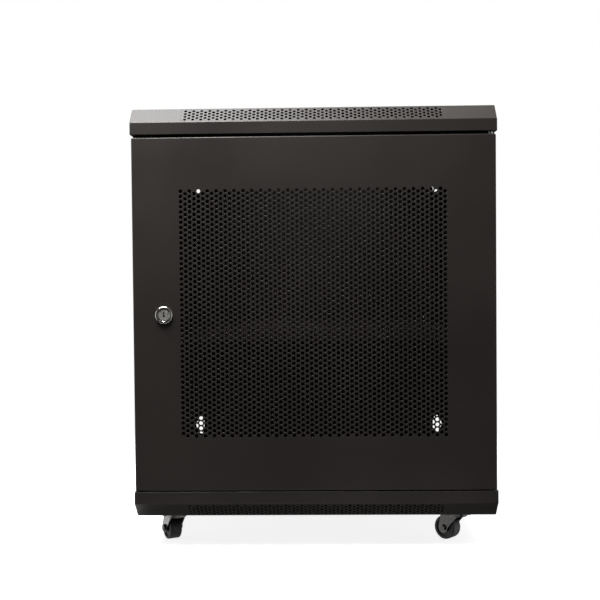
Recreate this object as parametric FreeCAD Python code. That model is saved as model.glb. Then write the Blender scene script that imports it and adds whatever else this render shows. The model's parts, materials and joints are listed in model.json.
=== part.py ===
import FreeCAD, Part
import math
import os

from FreeCAD import Vector

# A twelve-unit network rack cabinet on four swivel casters, in millimetres.
# X runs to the right seen from the front, Y to the rear, Z up from the floor.
# The origin is on the floor, under the middle of the cabinet's outer box.

# ---- overall size ----
WIDTH = 600.0
DEPTH = 600.0
BODY_BOTTOM = 52.0          # underside of the base, on top of the casters
SLOPE_HEIGHT = 25.0         # sloping front of the base and of the lid
SLOPE_RUN = 26.0
BASE_RIM = 20.0             # upright front rim of the base
LID_RIM = 19.5
DOOR_HEIGHT = 582.5
DOOR_GAP_BELOW = 1.5
DOOR_GAP_ABOVE = 5.0

# ---- sheet metal ----
FRAME_SHEET = 1.5
PANEL_SHEET = 1.2
RAIL_SHEET = 2.0
BEND_RADIUS = 2.0
RIM_FLANGE = 20.0           # flange turned in behind the front rims

# ---- punched vents in the two slopes ----
VENT_RADIUS = 2.55
VENT_COLUMNS = 64
VENT_COLUMN_STEP = 6.65
VENT_ROW_STEP = 7.8
VENT_STRIP_HALF = 216.0     # half length of the punched strip let into each slope
VENT_STRIP_MARGIN = 2.2     # from the slope's bends to the strip

# ---- door ----
DOOR_WIDTH = 596.0
DOOR_SETBACK = 1.0          # door face behind the rim faces
DOOR_THICKNESS = 18.0
DOOR_LIP = 16.0
HINGE_INSET = 8.0           # hinge axis from the door's right edge
PIN_RADIUS = 4.0
RUNNING_CLEARANCE = 0.05
PIN_TRAVEL_GAP = 0.3

# ---- door lock ----
LOCK_INSET = 51.0           # lock axis from the door's left edge
LOCK_PROUD = 5.0            # bezel in front of the door face
BEZEL_RADIUS = 14.0
BARREL_RADIUS = 9.0
PLUG_RADIUS = 6.0
PLUG_FACE_RADIUS = 9.4
PLUG_GROOVE = 0.9           # open ring between the plug face and the bezel

# ---- frame posts and rack rails ----
POST_OUTER_X = 290.5
POST_SETBACK = 28.0         # front post face behind the front rims
POST_FACE = 30.5
POST_WEB = 40.0
POST_RETURN = 15.0
RACK_UNIT = 44.45
RACK_UNITS = 12
RACK_HOLE_SPACING = 465.1
RACK_CLEAR_WIDTH = 450.0
RACK_BOTTOM = 125.0
SQUARE_HOLE = 9.5
FRONT_RAIL_SETBACK = 75.0
REAR_RAIL_SETBACK = 30.0
RAIL_FACE = 21.5
FRONT_RAIL_WEB = 40.0
REAR_RAIL_WEB = 30.0
SUPPORT_HEIGHT = 30.0
SUPPORT_WIDTH = 25.0
SUPPORT_LIFT = 10.0         # lower rail support above the base's floor

# ---- shelf ----
SHELF_TOP = 359.0
SHELF_LIP = 18.0
SHELF_HALF_WIDTH = 222.0

# ---- wall-mount keyholes ----
KEYHOLE_X = 260.0
KEYHOLE_LOW_Z = 120.0
KEYHOLE_SPACING_Z = 530.0
KEYHOLE_RADIUS = 11.5
KEYHOLE_SLOT_RADIUS = 5.0
KEYHOLE_LENGTH = 38.0

# ---- rear panel's lips and screws ----
REAR_PANEL_LIP = 3.0        # above and below the seams with base and lid
PANEL_SCREW_RADIUS = 2.5
PANEL_SCREW_HEAD = 2.2

# ---- side panels and their locks ----
SIDE_FACE_X = 299.0
SIDE_RETURN = 8.0
SIDE_SETBACK = 25.0
SIDE_LOCK_Z = 660.0
SIDE_BEZEL_RADIUS = 12.0
SIDE_BARREL_RADIUS = 8.0
SIDE_PLUG_RADIUS = 5.0
LOCK_LIP_X = 289.0

# ---- roof ----
FAN_X = 130.0
FAN_SETBACK = 260.0         # fan centres behind the front rims
FAN_HOLE_SPACING = 105.0
FAN_HOLE_RADIUS = 2.25
FAN_FIELD_RADIUS = 57.0
FAN_SLOT_WIDTH = 5.0
FAN_SLOT_STEP = 11.0
CABLE_ENTRY = (220.0, 50.0)
CABLE_ENTRY_SETBACK = 85.0  # cable entries ahead of the rear face
CABLE_COVER_OVERLAP = 10.0

# ---- casters ----
CASTER_X = 240.0
CASTER_INSET = 65.0
WHEEL_RADIUS = 20.0
WHEEL_HALF_WIDTH = 10.5
TREAD_SHOULDER = 2.0
CASTER_TRAIL = 20.0
AXLE_RADIUS = 3.0
KINGPIN_RADIUS = 4.0
PLATE_SIZE = (46.0, 52.0)
PLATE_BOLTS = (32.0, 38.0)
PLATE_THICKNESS = 2.5
FORK_CROWN_Z = 42.0
FORK_SHEET = 2.5
CROWN_RADIUS = 16.5
LEG_INNER = 11.6
LEG_SHEET = 2.2
LEG_END_RADIUS = 8.5
CASTER_TURN = {
    "front_left": 30.0,
    "front_right": 50.0,
    "rear_left": 12.0,
    "rear_right": -25.0,
}

# ---- levels and planes worked out from the sizes above ----
BASE_EDGE = BODY_BOTTOM + SLOPE_HEIGHT
BASE_TOP = BASE_EDGE + BASE_RIM
DOOR_BOTTOM = BASE_TOP + DOOR_GAP_BELOW
DOOR_TOP = DOOR_BOTTOM + DOOR_HEIGHT
LID_BOTTOM = DOOR_TOP + DOOR_GAP_ABOVE
LID_EDGE = LID_BOTTOM + LID_RIM
TOP = LID_EDGE + SLOPE_HEIGHT
FLOOR_Z = BODY_BOTTOM + FRAME_SHEET
CEILING_Z = TOP - FRAME_SHEET

BEZEL_OVERHANG = LOCK_PROUD - DOOR_SETBACK
FRONT = -DEPTH / 2 + (BEZEL_OVERHANG - PANEL_SCREW_HEAD) / 2
REAR = FRONT + DEPTH
HALF = WIDTH / 2

DOOR_FACE = FRONT + DOOR_SETBACK
DOOR_BACK = DOOR_FACE + DOOR_THICKNESS
HINGE_X = DOOR_WIDTH / 2 - HINGE_INSET
HINGE_Y = DOOR_FACE + DOOR_THICKNESS / 2
LOCK_X = -DOOR_WIDTH / 2 + LOCK_INSET
LOCK_Z = (DOOR_BOTTOM + DOOR_TOP) / 2
POST_FRONT = FRONT + POST_SETBACK
RAIL_OUTER_X = RACK_CLEAR_WIDTH / 2 + RAIL_FACE
LOWER_SUPPORT_Z = FLOOR_Z + SUPPORT_LIFT
UPPER_SUPPORT_Z = CEILING_Z - SUPPORT_LIFT / 2 - SUPPORT_HEIGHT
FRONT_RAIL_Y = FRONT + FRONT_RAIL_SETBACK
REAR_RAIL_Y = REAR - REAR_RAIL_SETBACK
FAN_Y = FRONT + FAN_SETBACK
CABLE_ENTRY_Y = REAR - CABLE_ENTRY_SETBACK

SIDES = (("left", -1), ("right", 1))
X_AXIS = Vector(1, 0, 0)
Y_AXIS = Vector(0, 1, 0)
Z_AXIS = Vector(0, 0, 1)


# ---- small building blocks ----
def box(x0, x1, y0, y1, z0, z1):
    """A box between two corners, given in either order."""
    low = Vector(min(x0, x1), min(y0, y1), min(z0, z1))
    return Part.makeBox(abs(x1 - x0), abs(y1 - y0), abs(z1 - z0), low)


def rod(radius, start, direction, length):
    """A cylinder from start along direction."""
    return Part.makeCylinder(radius, length, start, direction)


def fused(shapes):
    return shapes[0].multiFuse(shapes[1:]).removeSplitter()


def group(shapes):
    return Part.makeCompound(shapes)


def prism_along_x(outline, x0, x1):
    """Extrude a closed outline of (y, z) points from x0 to x1."""
    points = [Vector(x0, y, z) for y, z in outline]
    face = Part.Face(Part.makePolygon(points + points[:1]))
    return face.extrude(Vector(x1 - x0, 0, 0))


def hexagon(across_flats, centre, direction, height):
    """A hexagonal prism, for bolt heads and nuts."""
    radius = across_flats / math.sqrt(3)
    corners = []
    for step in range(7):
        angle = math.radians(60 * step)
        corners.append(Vector(radius * math.cos(angle), radius * math.sin(angle), 0))
    prism = Part.Face(Part.makePolygon(corners)).extrude(Vector(0, 0, height))
    turned = FreeCAD.Rotation(Z_AXIS, direction)
    prism.Placement = FreeCAD.Placement(centre, turned)
    return prism


def slot_cutter(centre_x, centre_y, length, width, z0, z1):
    """A round-ended slot along X that cuts through from z0 to z1."""
    radius = width / 2
    reach = length / 2 - radius
    ends = [Vector(centre_x - reach, centre_y, z0), Vector(centre_x + reach, centre_y, z0)]
    middle = box(centre_x - reach, centre_x + reach, centre_y - radius, centre_y + radius, z0, z1)
    return fused([middle] + [rod(radius, end, Z_AXIS, z1 - z0) for end in ends])


def pan_screw(head_radius, head_height, shank_radius, shank_length, face, outward):
    """A pan-head screw whose head stands outward from the face point."""
    head = rod(head_radius, face, outward, head_height)
    rim = [edge for edge in head.Edges if edge.Closed and
           (edge.CenterOfMass - face).Length > head_height / 2]
    head = head.makeFillet(head_height * 0.45, rim)
    shank = rod(shank_radius, face, outward * -1, shank_length)
    screw = fused([head, shank])
    bar = box(-0.5, 0.5, -head_radius * 0.55, head_radius * 0.55, head_height - 1, head_height + 1)
    crossbar = bar.copy()
    crossbar.rotate(Vector(0, 0, 0), Z_AXIS, 90)
    recess = fused([bar, crossbar])
    recess.Placement = FreeCAD.Placement(face, FreeCAD.Rotation(Z_AXIS, outward))
    return screw.cut(recess)


# ---- lid and base: folded trays with a sloping front ----
def tray_outline(z_open, z_edge, z_closed, inset):
    """The (y, z) outline of a tray with one chamfered front edge, moved in by inset."""
    up = 1 if z_closed > z_open else -1
    slope_length = math.hypot(SLOPE_RUN, SLOPE_HEIGHT)
    along = inset * (slope_length - SLOPE_HEIGHT) / SLOPE_RUN
    back = inset * (slope_length - SLOPE_RUN) / SLOPE_HEIGHT
    return [
        (FRONT + inset, z_open),
        (FRONT + inset, z_edge - up * along),
        (FRONT + SLOPE_RUN + back, z_closed - up * inset),
        (REAR - inset, z_closed - up * inset),
        (REAR - inset, z_open),
    ]


def folded_tray(z_open, z_edge, z_closed):
    """A tray folded from one sheet, open at z_open and closed at z_closed."""
    outer = prism_along_x(tray_outline(z_open, z_edge, z_closed, 0), -HALF, HALF)
    bends = []
    for edge in outer.Edges:
        levels = [vertex.Z for vertex in edge.Vertexes]
        if max(abs(level - z_open) for level in levels) > 0.1:
            bends.append(edge)
    outer = outer.makeFillet(BEND_RADIUS, bends)
    inner = prism_along_x(tray_outline(z_open, z_edge, z_closed, FRAME_SHEET),
                          -HALF + FRAME_SHEET, HALF - FRAME_SHEET)
    return outer.cut(inner)


def slope_place(z_edge, up, along, depth):
    """The (y, z) place at a distance up the slope and a depth behind its outer face."""
    slope_length = math.hypot(SLOPE_RUN, SLOPE_HEIGHT)
    rise = SLOPE_HEIGHT / slope_length
    run = SLOPE_RUN / slope_length
    return (FRONT + along * run + depth * rise, z_edge + up * (along * rise - depth * run))


def slope_plate(z_edge, up, near, far):
    """The slope's middle between two depths behind its outer face."""
    low = VENT_STRIP_MARGIN
    high = math.hypot(SLOPE_RUN, SLOPE_HEIGHT) - VENT_STRIP_MARGIN
    corners = [(low, near), (high, near), (high, far), (low, far)]
    outline = [slope_place(z_edge, up, along, depth) for along, depth in corners]
    return prism_along_x(outline, -VENT_STRIP_HALF, VENT_STRIP_HALF)


def vent_strip(z_edge, up):
    """The punched middle of a sloping front, with staggered round vents."""
    slope_length = math.hypot(SLOPE_RUN, SLOPE_HEIGHT)
    inward = Vector(0, SLOPE_HEIGHT, -up * SLOPE_RUN)
    first_x = -VENT_COLUMN_STEP * (VENT_COLUMNS - 1) / 2
    punches = []
    for column in range(VENT_COLUMNS):
        count = 4 - column % 2
        first = slope_length / 2 - VENT_ROW_STEP * (count - 1) / 2
        for row in range(count):
            y, z = slope_place(z_edge, up, first + row * VENT_ROW_STEP, -2)
            place = Vector(first_x + column * VENT_COLUMN_STEP, y, z)
            punches.append(rod(VENT_RADIUS, place, inward, 8))
    return slope_plate(z_edge, up, 0, FRAME_SHEET).cut(group(punches))


def fan_fields():
    """Vent slots and fan screw holes for two fans in the roof."""
    cutters = []
    rows = int(FAN_FIELD_RADIUS / FAN_SLOT_STEP)
    half_spacing = FAN_HOLE_SPACING / 2
    for side in (-1, 1):
        for row in range(-rows, rows + 1):
            offset = row * FAN_SLOT_STEP
            length = 2 * math.sqrt(FAN_FIELD_RADIUS ** 2 - offset ** 2) - FAN_SLOT_WIDTH
            cutters.append(slot_cutter(side * FAN_X, FAN_Y + offset, max(length, 30),
                                       FAN_SLOT_WIDTH, CEILING_Z - 1, TOP + 1))
        for dx in (-half_spacing, half_spacing):
            for dy in (-half_spacing, half_spacing):
                place = Vector(side * FAN_X + dx, FAN_Y + dy, CEILING_Z - 1)
                cutters.append(rod(FAN_HOLE_RADIUS, place, Z_AXIS, FRAME_SHEET + 2))
    return cutters


def cable_entry(z0, z1):
    length, width = CABLE_ENTRY
    return box(-length / 2, length / 2, CABLE_ENTRY_Y - width / 2,
               CABLE_ENTRY_Y + width / 2, z0, z1)


def top_cover():
    tray = folded_tray(LID_BOTTOM, LID_EDGE, TOP)
    inner_x = HALF - FRAME_SHEET
    flange = box(-inner_x, inner_x, FRONT + FRAME_SHEET, FRONT + RIM_FLANGE,
                 LID_BOTTOM, LID_BOTTOM + FRAME_SHEET)
    pieces = [tray, flange]
    lip_front = POST_FRONT + POST_WEB + 7
    lip_rear = REAR - POST_WEB - 35
    for _, side in SIDES:
        pieces.append(box(side * (LOCK_LIP_X - FRAME_SHEET), side * inner_x, lip_front, lip_rear,
                          LID_BOTTOM, LID_BOTTOM + FRAME_SHEET))
        pieces.append(box(side * (LOCK_LIP_X - FRAME_SHEET), side * LOCK_LIP_X, lip_front, lip_rear,
                          LID_BOTTOM - 14, LID_BOTTOM + FRAME_SHEET))
    cover = fused(pieces)
    hinge_hole = rod(PIN_RADIUS + 1.5, Vector(HINGE_X, HINGE_Y, LID_BOTTOM - 1), Z_AXIS, 5)
    cutters = fan_fields()
    cutters.append(slope_plate(LID_EDGE, 1, -2, FRAME_SHEET + 2))
    cutters.append(cable_entry(CEILING_Z - 1, TOP + 1))
    cutters.append(hinge_hole)
    return cover.cut(group(cutters))


def base_pan():
    tray = folded_tray(BASE_TOP, BASE_EDGE, BODY_BOTTOM)
    inner_x = HALF - FRAME_SHEET
    flange = box(-inner_x, inner_x, FRONT + FRAME_SHEET, FRONT + RIM_FLANGE,
                 BASE_TOP - FRAME_SHEET, BASE_TOP)
    pieces = [tray, flange]
    for _, side in SIDES:
        pieces.append(box(side * (POST_OUTER_X + 1), side * inner_x, FRONT + RIM_FLANGE,
                          REAR - FRAME_SHEET, BASE_TOP - FRAME_SHEET, BASE_TOP))
        for y in (-200, 200):
            pieces.append(rod(2.5, Vector(side * 295, y, BASE_TOP - FRAME_SHEET), Z_AXIS, 7.5))
    pan = fused(pieces)
    cutters = [slope_plate(BASE_EDGE, -1, -2, FRAME_SHEET + 2)]
    cutters.append(cable_entry(BODY_BOTTOM - 1, FLOOR_Z + 1))
    cutters.append(rod(PIN_RADIUS + 1.5, Vector(HINGE_X, HINGE_Y, BASE_TOP - 3), Z_AXIS, 5))
    for x, y in caster_bolt_places():
        cutters.append(rod(3.2, Vector(x, y, BODY_BOTTOM - 1), Z_AXIS, 5))
    return pan.cut(group(cutters))


def cable_cover(z0):
    """A flat plate that closes a cable entry from inside."""
    length, width = CABLE_ENTRY
    half_x = length / 2 + CABLE_COVER_OVERLAP
    half_y = width / 2 + CABLE_COVER_OVERLAP
    plate = box(-half_x, half_x, CABLE_ENTRY_Y - half_y, CABLE_ENTRY_Y + half_y,
                z0, z0 + PANEL_SHEET)
    uprights = [edge for edge in plate.Edges if abs(edge.tangentAt(0).z) > 0.9]
    return plate.makeFillet(4, uprights)


# ---- frame ----
def front_post(side):
    x0 = side * POST_OUTER_X
    y0 = POST_FRONT
    inner_x = side * (POST_OUTER_X - FRAME_SHEET)
    face = box(x0, side * (POST_OUTER_X - POST_FACE), y0, y0 + FRAME_SHEET, FLOOR_Z, CEILING_Z)
    web = box(x0, inner_x, y0, y0 + POST_WEB, FLOOR_Z, CEILING_Z)
    fold = box(x0, side * (POST_OUTER_X - POST_RETURN), y0 + POST_WEB - FRAME_SHEET,
               y0 + POST_WEB, FLOOR_Z, CEILING_Z)
    return fused([face, web, fold])


def rear_post(side):
    x0 = side * POST_OUTER_X
    y1 = REAR - FRAME_SHEET
    inner_x = side * (POST_OUTER_X - FRAME_SHEET)
    fold_x = side * (POST_OUTER_X - POST_RETURN)
    face = box(x0, fold_x, y1 - FRAME_SHEET, y1, FLOOR_Z, CEILING_Z)
    web = box(x0, inner_x, y1 - POST_WEB, y1, FLOOR_Z, CEILING_Z)
    fold = box(x0, fold_x, y1 - POST_WEB, y1 - POST_WEB + FRAME_SHEET, FLOOR_Z, CEILING_Z)
    holes = [rod(PANEL_SCREW_RADIUS, place - Y_AXIS * 10, Y_AXIS, 12)
             for place in rear_screw_places()]
    return fused([face, web, fold]).cut(group(holes))


def rail_support(side, z0):
    """A channel from the front post to the rear post that carries two rack rails."""
    z1 = z0 + SUPPORT_HEIGHT
    x_in = side * RAIL_OUTER_X
    x_web = side * (RAIL_OUTER_X + FRAME_SHEET)
    x_out = side * (RAIL_OUTER_X + SUPPORT_WIDTH)
    x_tab = side * (POST_OUTER_X - FRAME_SHEET - 0.5)
    y0 = POST_FRONT + FRAME_SHEET
    y1 = REAR - 2 * FRAME_SHEET
    pieces = [
        box(x_in, x_web, y0, y1, z0, z1),
        box(x_in, x_out, y0, y1, z0, z0 + FRAME_SHEET),
        box(x_in, x_out, y0, y1, z1 - FRAME_SHEET, z1),
        box(x_in, x_tab, y0, y0 + FRAME_SHEET, z0, z1),
        box(x_in, x_tab, y1 - FRAME_SHEET, y1, z0, z1),
    ]
    channel = fused(pieces)
    slots = []
    middle_z = (z0 + z1) / 2
    for slot_y in (-110, 0, 110):
        cutter = slot_cutter(slot_y, 0, 80, 6.5, -3, 3)
        cutter.rotate(Vector(0, 0, 0), Z_AXIS, 90)
        cutter.rotate(Vector(0, 0, 0), Y_AXIS, 90)
        cutter.translate(Vector((x_in + x_web) / 2, 0, middle_z))
        slots.append(cutter)
    return channel.cut(group(slots))


def rack_rail(side, face_y, web_depth):
    """An angle rail with three square holes to each rack unit.

    A positive web_depth turns the web to the rear, a negative one to the front."""
    x_in = side * RACK_CLEAR_WIDTH / 2
    x_out = side * RAIL_OUTER_X
    toward = 1 if web_depth > 0 else -1
    z0 = LOWER_SUPPORT_Z
    z1 = UPPER_SUPPORT_Z + SUPPORT_HEIGHT
    face = box(x_in, x_out, face_y, face_y + toward * RAIL_SHEET, z0, z1)
    web = box(x_out, side * (RAIL_OUTER_X - RAIL_SHEET), face_y, face_y + web_depth, z0, z1)
    rail = fused([face, web])
    holes = []
    half = SQUARE_HOLE / 2
    hole_x = side * RACK_HOLE_SPACING / 2
    for hole_z in rack_hole_levels():
        holes.append(box(hole_x - half, hole_x + half, face_y - 3, face_y + 3,
                         hole_z - half, hole_z + half))
    return rail.cut(group(holes))


def rack_hole_levels():
    """Heights of the rack holes: three in each unit, 15.875 mm apart."""
    levels = []
    for unit in range(RACK_UNITS):
        for step in range(3):
            levels.append(RACK_BOTTOM + unit * RACK_UNIT + 6.35 + step * 15.875)
    return levels


def shelf():
    """A fixed shelf between the rails, folded down on all sides."""
    y0 = FRONT_RAIL_Y - FRAME_SHEET
    y1 = REAR_RAIL_Y - RAIL_SHEET
    z0 = SHELF_TOP - SHELF_LIP
    half = SHELF_HALF_WIDTH
    ear = 19.0
    outer = box(-half, half, y0, y1, z0, SHELF_TOP)
    inner = box(-half + FRAME_SHEET, half - FRAME_SHEET, y0 + FRAME_SHEET, y1 - FRAME_SHEET,
                z0 - 1, SHELF_TOP - FRAME_SHEET)
    ears = []
    for _, side in SIDES:
        for ear_y in (y0, y1 - FRAME_SHEET):
            ears.append(box(side * (half - FRAME_SHEET), side * (half + ear), ear_y,
                            ear_y + FRAME_SHEET, z0 - 6.5, SHELF_TOP))
    plate = fused([outer.cut(inner)] + ears)
    slots = []
    for row in range(7):
        for column in range(5):
            slots.append(slot_cutter((column - 2) * 80.0, y0 + 80 + row * 55.0, 50, 6,
                                     SHELF_TOP - 3, SHELF_TOP + 1))
    for place in shelf_screw_places():
        slots.append(rod(3.3, place - Y_AXIS * 3, Y_AXIS, 6))
    return plate.cut(group(slots))


def shelf_screw_places():
    """Centres of the shelf's fixing holes, on the front faces of its ears."""
    levels = [z for z in rack_hole_levels() if SHELF_TOP - SHELF_LIP - 6 < z < SHELF_TOP]
    places = []
    for _, side in SIDES:
        for y in (FRONT_RAIL_Y - FRAME_SHEET, REAR_RAIL_Y - RAIL_SHEET - FRAME_SHEET):
            for z in levels:
                places.append(Vector(side * RACK_HOLE_SPACING / 2, y, z))
    return places


# ---- outer panels ----
def keyhole_cutter(x, z):
    """A round hole with a slot above and below it, through the rear panel."""
    reach = KEYHOLE_LENGTH / 2 - KEYHOLE_SLOT_RADIUS
    y = REAR - FRAME_SHEET - 1
    depth = FRAME_SHEET + 2
    pieces = [
        rod(KEYHOLE_RADIUS, Vector(x, y, z), Y_AXIS, depth),
        rod(KEYHOLE_SLOT_RADIUS, Vector(x, y, z - reach), Y_AXIS, depth),
        rod(KEYHOLE_SLOT_RADIUS, Vector(x, y, z + reach), Y_AXIS, depth),
        box(x - KEYHOLE_SLOT_RADIUS, x + KEYHOLE_SLOT_RADIUS, y, y + depth, z - reach, z + reach),
    ]
    return fused(pieces)


def rear_panel():
    """A flat sheet between base and lid, with lips that hook inside their rear walls."""
    pieces = [box(-SIDE_FACE_X, SIDE_FACE_X, REAR - FRAME_SHEET, REAR,
                  BASE_TOP + 0.5, LID_BOTTOM - 0.5)]
    lip_x = POST_OUTER_X - POST_RETURN - 1
    for seam in (BASE_TOP, LID_BOTTOM):
        pieces.append(box(-lip_x, lip_x, REAR - 2 * FRAME_SHEET, REAR - FRAME_SHEET,
                          seam - REAR_PANEL_LIP, seam + REAR_PANEL_LIP))
    panel = fused(pieces)
    cutters = []
    for _, side in SIDES:
        for z in (KEYHOLE_LOW_Z, KEYHOLE_LOW_Z + KEYHOLE_SPACING_Z):
            cutters.append(keyhole_cutter(side * KEYHOLE_X, z))
    for place in rear_screw_places():
        cutters.append(rod(2.6, place - Y_AXIS * 3, Y_AXIS, 6))
    return panel.cut(group(cutters))


def rear_screw_places():
    """Screw centres on the rear panel's outer face."""
    places = []
    for _, side in SIDES:
        for z in (160.0, 305.0, 470.0, 620.0):
            places.append(Vector(side * (POST_OUTER_X - 8), REAR, z))
    return places


def side_panel(side):
    """A lift-off panel with its four edges folded in."""
    x_face = side * SIDE_FACE_X
    x_open = side * (SIDE_FACE_X - SIDE_RETURN)
    y0 = FRONT + SIDE_SETBACK
    y1 = REAR - FRAME_SHEET - 1
    z0 = BASE_TOP + 1
    z1 = LID_BOTTOM - 1
    outer = box(x_face, x_open, y0, y1, z0, z1)
    rim = [edge for edge in outer.Edges
           if all(abs(vertex.X - x_face) < 0.1 for vertex in edge.Vertexes)]
    outer = outer.makeFillet(BEND_RADIUS * 0.75, rim)
    inner = box(side * (SIDE_FACE_X - PANEL_SHEET), side * (SIDE_FACE_X - SIDE_RETURN - 1),
                y0 + PANEL_SHEET, y1 - PANEL_SHEET, z0 + PANEL_SHEET, z1 - PANEL_SHEET)
    cutters = [inner]
    cutters.append(rod(SIDE_BARREL_RADIUS, Vector(side * 280, 0, SIDE_LOCK_Z),
                       X_AXIS * side, 30))
    for y in (-200, 200):
        cutters.append(rod(4.5, Vector(side * 295, y, z0 - 1), Z_AXIS, 5))
    return outer.cut(group(cutters))


# ---- side panel locks ----
def side_lock_body(side):
    centre = Vector(side * SIDE_FACE_X, 0, SIDE_LOCK_Z)
    outward = X_AXIS * side
    bezel = rod(SIDE_BEZEL_RADIUS, centre, outward, HALF - SIDE_FACE_X)
    rim = [edge for edge in bezel.Edges if edge.Closed and abs(edge.CenterOfMass.x) > HALF - 0.1]
    bezel = bezel.makeFillet(0.6, rim)
    barrel = rod(SIDE_BARREL_RADIUS, centre, outward * -1, 12)
    bore = rod(SIDE_PLUG_RADIUS + RUNNING_CLEARANCE, centre + outward * 3, outward * -1, 20)
    nut = hexagon(19, centre + outward * (-PANEL_SHEET - 4), outward, 4)
    return fused([bezel, barrel, nut]).cut(bore)


def side_lock_plug(side):
    outward = X_AXIS * side
    face = Vector(side * (HALF - 0.3), 0, SIDE_LOCK_Z)
    plug = rod(SIDE_PLUG_RADIUS, face, outward * -1, 12.9)
    tail = rod(3, face, outward * -1, 16.2)
    keyway = box(face.x + side, face.x - side * 5, -1.1, 1.1,
                 SIDE_LOCK_Z - 3.2, SIDE_LOCK_Z + 3.2)
    return fused([plug, tail]).cut(keyway)


def side_lock_cam(side):
    """A flat cam that points to the rear when the lock is open."""
    x0 = side * (HALF - 0.3 - 12.9)
    x1 = x0 - side * 2
    blade = box(x0, x1, -7, 25, SIDE_LOCK_Z - 6.5, SIDE_LOCK_Z + 6.5)
    corners = [edge for edge in blade.Edges if abs(edge.tangentAt(0).x) > 0.9]
    blade = blade.makeFillet(4, corners)
    return blade.cut(rod(3, Vector(x0 + side, 0, SIDE_LOCK_Z), X_AXIS * -side, 5))


# ---- door ----
def door_panel():
    """The door sheet with four edges folded back and turned in behind."""
    half = DOOR_WIDTH / 2
    outer = box(-half, half, DOOR_FACE, DOOR_BACK, DOOR_BOTTOM, DOOR_TOP)
    rim = [edge for edge in outer.Edges
           if all(abs(vertex.Y - DOOR_FACE) < 0.1 for vertex in edge.Vertexes)]
    outer = outer.makeFillet(BEND_RADIUS, rim)
    cavity = box(-half + PANEL_SHEET, half - PANEL_SHEET, DOOR_FACE + PANEL_SHEET,
                 DOOR_BACK - PANEL_SHEET, DOOR_BOTTOM + PANEL_SHEET, DOOR_TOP - PANEL_SHEET)
    mouth = box(-half + DOOR_LIP, half - DOOR_LIP, DOOR_BACK - 4, DOOR_BACK + 1,
                DOOR_BOTTOM + DOOR_LIP, DOOR_TOP - DOOR_LIP)
    cutters = [cavity, mouth]
    cutters.append(rod(BARREL_RADIUS, Vector(LOCK_X, DOOR_FACE - 1, LOCK_Z), Y_AXIS, 4))
    for z in (DOOR_BOTTOM - 1, DOOR_TOP - 3):
        cutters.append(rod(PIN_RADIUS + RUNNING_CLEARANCE, Vector(HINGE_X, HINGE_Y, z), Z_AXIS, 4))
    return outer.cut(fused(cutters[:2])).cut(group(cutters[2:]))


def door_stiffeners():
    """Two upright channels spot-welded behind the door sheet beside the vents."""
    channels = []
    z0 = DOOR_BOTTOM + 30
    z1 = DOOR_TOP - 30
    y0 = DOOR_FACE + PANEL_SHEET
    for _, side in SIDES:
        outer = box(side * 222, side * 232, y0, y0 + 12, z0, z1)
        hollow = box(side * (222 + PANEL_SHEET), side * (232 - PANEL_SHEET), y0 - 1,
                     y0 + 12 - PANEL_SHEET, z0 - 1, z1 + 1)
        channels.append(outer.cut(hollow))
    return group(channels)


def hinge_bracket(z0):
    """A small angle welded in the door's corner, with a guide hole for a hinge pin."""
    x1 = DOOR_WIDTH / 2 - PANEL_SHEET
    y0 = DOOR_FACE + PANEL_SHEET
    y1 = DOOR_BACK - PANEL_SHEET
    plate = box(280, x1, y0, y1, z0, z0 + 2)
    web = box(280, 282, y0, y1, z0 - 8, z0 + 2)
    hole = rod(PIN_RADIUS + RUNNING_CLEARANCE, Vector(HINGE_X, HINGE_Y, z0 - 1), Z_AXIS, 4)
    return fused([plate, web]).cut(hole)


UPPER_BRACKET_Z = DOOR_TOP - 26
LOWER_BRACKET_Z = DOOR_BOTTOM + 26
COLLAR_Z = UPPER_BRACKET_Z + 13


def hinge_brackets():
    return group([hinge_bracket(UPPER_BRACKET_Z), hinge_bracket(LOWER_BRACKET_Z)])


def hinge_pin_upper():
    """The spring-loaded pin, with a collar above its bracket and a pull knob below."""
    foot = UPPER_BRACKET_Z - PIN_TRAVEL_GAP
    shaft = rod(PIN_RADIUS, Vector(HINGE_X, HINGE_Y, foot - 4), Z_AXIS, LID_BOTTOM + 4 - foot + 4)
    collar = rod(6, Vector(HINGE_X, HINGE_Y, COLLAR_Z), Z_AXIS, 3)
    knob = rod(6.4, Vector(HINGE_X, HINGE_Y, foot - 15), Z_AXIS, 15)
    rims = [edge for edge in knob.Edges if edge.Closed]
    knob = knob.makeFillet(1.5, rims)
    return fused([shaft, collar, knob])


def hinge_spring():
    """A closed sleeve of the coil spring's outer size, between bracket and collar."""
    base = Vector(HINGE_X, HINGE_Y, UPPER_BRACKET_Z + 2)
    height = COLLAR_Z - base.z
    return rod(5.8, base, Z_AXIS, height).cut(rod(4.4, base, Z_AXIS, height))


def hinge_pin_lower():
    base = Vector(HINGE_X, HINGE_Y, BASE_TOP - 8)
    head_z = LOWER_BRACKET_Z + 2
    shaft = rod(PIN_RADIUS, base, Z_AXIS, head_z - base.z)
    head = rod(6, Vector(HINGE_X, HINGE_Y, head_z), Z_AXIS, 3)
    return fused([shaft, head])


def hinge_bush(z_flange, z_barrel, height):
    """A flanged plastic bush; the barrel rises or hangs from the flange."""
    flange = rod(7, Vector(HINGE_X, HINGE_Y, z_flange), Z_AXIS, 1.2)
    barrel = rod(PIN_RADIUS + 1.5, Vector(HINGE_X, HINGE_Y, z_barrel), Z_AXIS, height)
    bore = rod(PIN_RADIUS + RUNNING_CLEARANCE, Vector(HINGE_X, HINGE_Y, z_barrel - 9), Z_AXIS, 20)
    return fused([flange, barrel]).cut(bore)


def hinge_bushes():
    upper = hinge_bush(LID_BOTTOM - 1.2, LID_BOTTOM - 1.2, 4.4)
    lower = hinge_bush(BASE_TOP, BASE_TOP - 5, 6.2)
    return group([upper, lower])


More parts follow.
